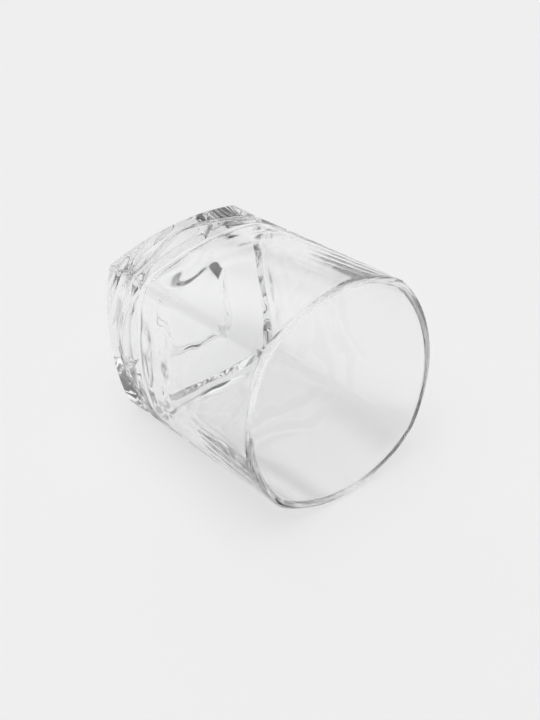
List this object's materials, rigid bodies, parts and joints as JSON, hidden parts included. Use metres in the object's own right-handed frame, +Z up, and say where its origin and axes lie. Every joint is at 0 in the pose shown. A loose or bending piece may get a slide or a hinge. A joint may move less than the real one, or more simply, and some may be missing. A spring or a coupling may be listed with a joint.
{
  "type": "square tumbler",
  "caption": "Heavy-based tumbler of clear pressed glass: square bowed foot, an arched groove above it, and straight walls that open to a nearly round mouth.",
  "frame": {"origin": "on the axis, level with the flat ring of the foot's underside that the glass rests on", "axes": "+Z up the glass's axis towards the mouth; +X and +Y square to the middles of two neighbouring sides"},
  "size_m": [0.0818, 0.0818, 0.0865],
  "materials": {
    "clear_glass": "colourless, pressed and fire-polished"
  },
  "bodies": {
    "root": {"foot": "clear_glass", "bowl": "clear_glass", "rim": "clear_glass"}
  },
  "joints": []
}
